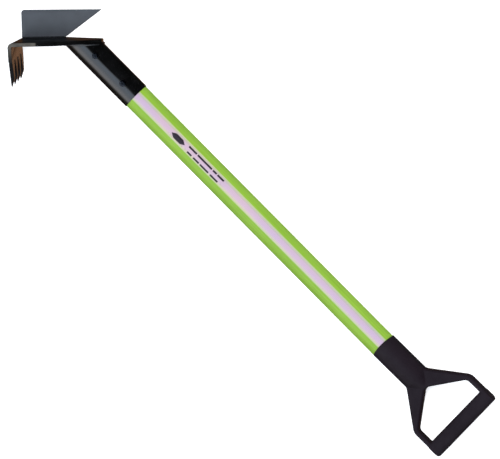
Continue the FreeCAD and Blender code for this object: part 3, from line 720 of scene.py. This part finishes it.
def weld_bead(name, node, path, tangent_of, radius, closed):
    """A hand-laid bead: overlapping crescents along a path, each a little different."""
    shape = bmesh.new()
    rings = []
    travelled = 0.0
    for step, centre in enumerate(path):
        if step:
            travelled += (centre - path[step - 1]).length
        tangent = tangent_of(step).normalized()
        side = tangent.cross(PLATE_UP).normalized()
        rise = side.cross(tangent).normalized()
        ring = []
        for corner in range(BEAD_SIDES):
            around = 2 * math.pi * corner / BEAD_SIDES
            lag = RIPPLE_LAG * math.cos(2 * around)
            phase = ((travelled + lag) / RIPPLE_PITCH) % 1.0
            ripple = RIPPLE_HEIGHT * (1.0 - phase) ** RIPPLE_FALL
            wander = WANDER * noise.noise(centre * WANDER_SCALE)
            reach = radius * (BEAD_BASE + ripple + wander)
            outward = math.cos(around) * side + math.sin(around) * rise
            ring.append(shape.verts.new(HEAD @ (centre + reach * outward)))
        rings.append(ring)
    pairs = list(zip(rings, rings[1:]))
    if closed:
        pairs.append((rings[-1], rings[0]))
    else:
        shape.faces.new(rings[0])
        shape.faces.new(rings[-1])
    for one, two in pairs:
        for corner in range(BEAD_SIDES):
            after = (corner + 1) % BEAD_SIDES
            shape.faces.new((one[corner], one[after], two[after], two[corner]))
    return place_piece(name, shape, weld_enamel, node)


# The ferrule meets the plate's underside in an oval. The bead's middle runs round an oval whose
# half-lengths are OVAL_CLEAR larger, as far below the plate.
FERRULE_RADIUS = 0.0237
OVAL_STEPS = 420
OVAL_CLEAR, OVAL_BEAD = 0.0008, 0.0021
oval_long = FERRULE_RADIUS / math.sin(HEAD_ANGLE) + OVAL_CLEAR
oval_short = FERRULE_RADIUS + OVAL_CLEAR
turns = [2 * math.pi * step / OVAL_STEPS for step in range(OVAL_STEPS)]
oval = [
    Vector((oval_long * math.cos(turn), -OVAL_CLEAR, oval_short * math.sin(turn))) for turn in turns
]
weld_bead(
    "ferrule_bead",
    "ferrule_weld",
    oval,
    lambda step: oval[(step + 1) % OVAL_STEPS] - oval[step - 1],
    OVAL_BEAD,
    closed=True,
)

# The blade's inner face meets the plate's top in a straight line; the bead's middle runs along
# it, SEAM_CLEAR off both surfaces.
PLATE_THICK = 0.00635
BLADE_FACE = -0.0460
SEAM_STEPS = 150
SEAM_FROM, SEAM_TO = -0.1095, -0.0390
SEAM_CLEAR, SEAM_BEAD = 0.0002, 0.0014
run = (SEAM_TO - SEAM_FROM) / SEAM_STEPS
seam = [
    Vector((SEAM_FROM + run * step, PLATE_THICK + SEAM_CLEAR, BLADE_FACE + SEAM_CLEAR))
    for step in range(SEAM_STEPS + 1)
]
weld_bead("blade_bead", "blade_weld", seam, lambda step: ALONG_PLATE, SEAM_BEAD, closed=False)

# Printed marks on the label: a hexagonal badge and rows of bars, with no lettering. Places on
# the label are metres along the pole, and round it from the label's middle.
MARK_RADIUS = 0.02275  # from the pole's axis
MARK_DEPTH = 0.0001
BADGE_SIDES = 6
BADGE_AT = Vector((0.2210, -0.0008))
BADGE_LONG, BADGE_HIGH = 0.0150, 0.0052
# The badge's middle is left open by this share of its size, so that no face has a zero edge.
BADGE_HOLE = 0.02
BADGE_PARTS, BAR_PARTS = 4, 6
# Each row's lower and upper edge, and where each of its bars starts and ends.
BAR_ROWS = (
    (0.0016, 0.0046, ((0.2425, 0.2600), (0.2625, 0.2950), (0.2975, 0.3060), (0.3080, 0.3225))),
    (-0.0068, -0.0040, ((0.2460, 0.2560), (0.2600, 0.2730), (0.2755, 0.2945), (0.2990, 0.3160))),
)


def on_pole(x, arc):
    """Where a mark's place on the label is in the row's frame."""
    around = TAPE_CLOCK + arc / MARK_RADIUS
    return TOOL @ Vector((x, MARK_RADIUS * math.sin(around), MARK_RADIUS * math.cos(around)))


def patch(shape, corners, parts):
    """Lay one four-sided mark on the pole, divided so that it follows the curve."""
    grid = []
    for row in range(parts + 1):
        left = corners[0].lerp(corners[3], row / parts)
        right = corners[1].lerp(corners[2], row / parts)
        spots = [left.lerp(right, column / parts) for column in range(parts + 1)]
        grid.append([shape.verts.new(on_pole(spot.x, spot.y)) for spot in spots])
    for one, two in zip(grid, grid[1:]):
        for column in range(parts):
            shape.faces.new((one[column], one[column + 1], two[column + 1], two[column]))


def label_marks():
    """The badge and the bars, as one thin piece."""
    shape = bmesh.new()
    for side in range(BADGE_SIDES):
        ends = [math.radians(360 / BADGE_SIDES * (side + step)) for step in (0, 1)]
        first, second = [
            Vector((math.cos(end) * BADGE_LONG, math.sin(end) * BADGE_HIGH)) for end in ends
        ]
        spokes = (first, second, second * BADGE_HOLE, first * BADGE_HOLE)
        patch(shape, [BADGE_AT + spoke for spoke in spokes], BADGE_PARTS)
    for low, high, bars in BAR_ROWS:
        for start, end in bars:
            corners = ((start, low), (end, low), (end, high), (start, high))
            patch(shape, [Vector(corner) for corner in corners], BAR_PARTS)
    bmesh.ops.remove_doubles(shape, verts=shape.verts, dist=MERGE_DISTANCE)
    piece = place_piece("label_marks", shape, ink)
    depth = piece.modifiers.new("film", "SOLIDIFY")
    depth.thickness = MARK_DEPTH
    depth.offset = 1.0
    apply_modifiers(piece)


label_marks()
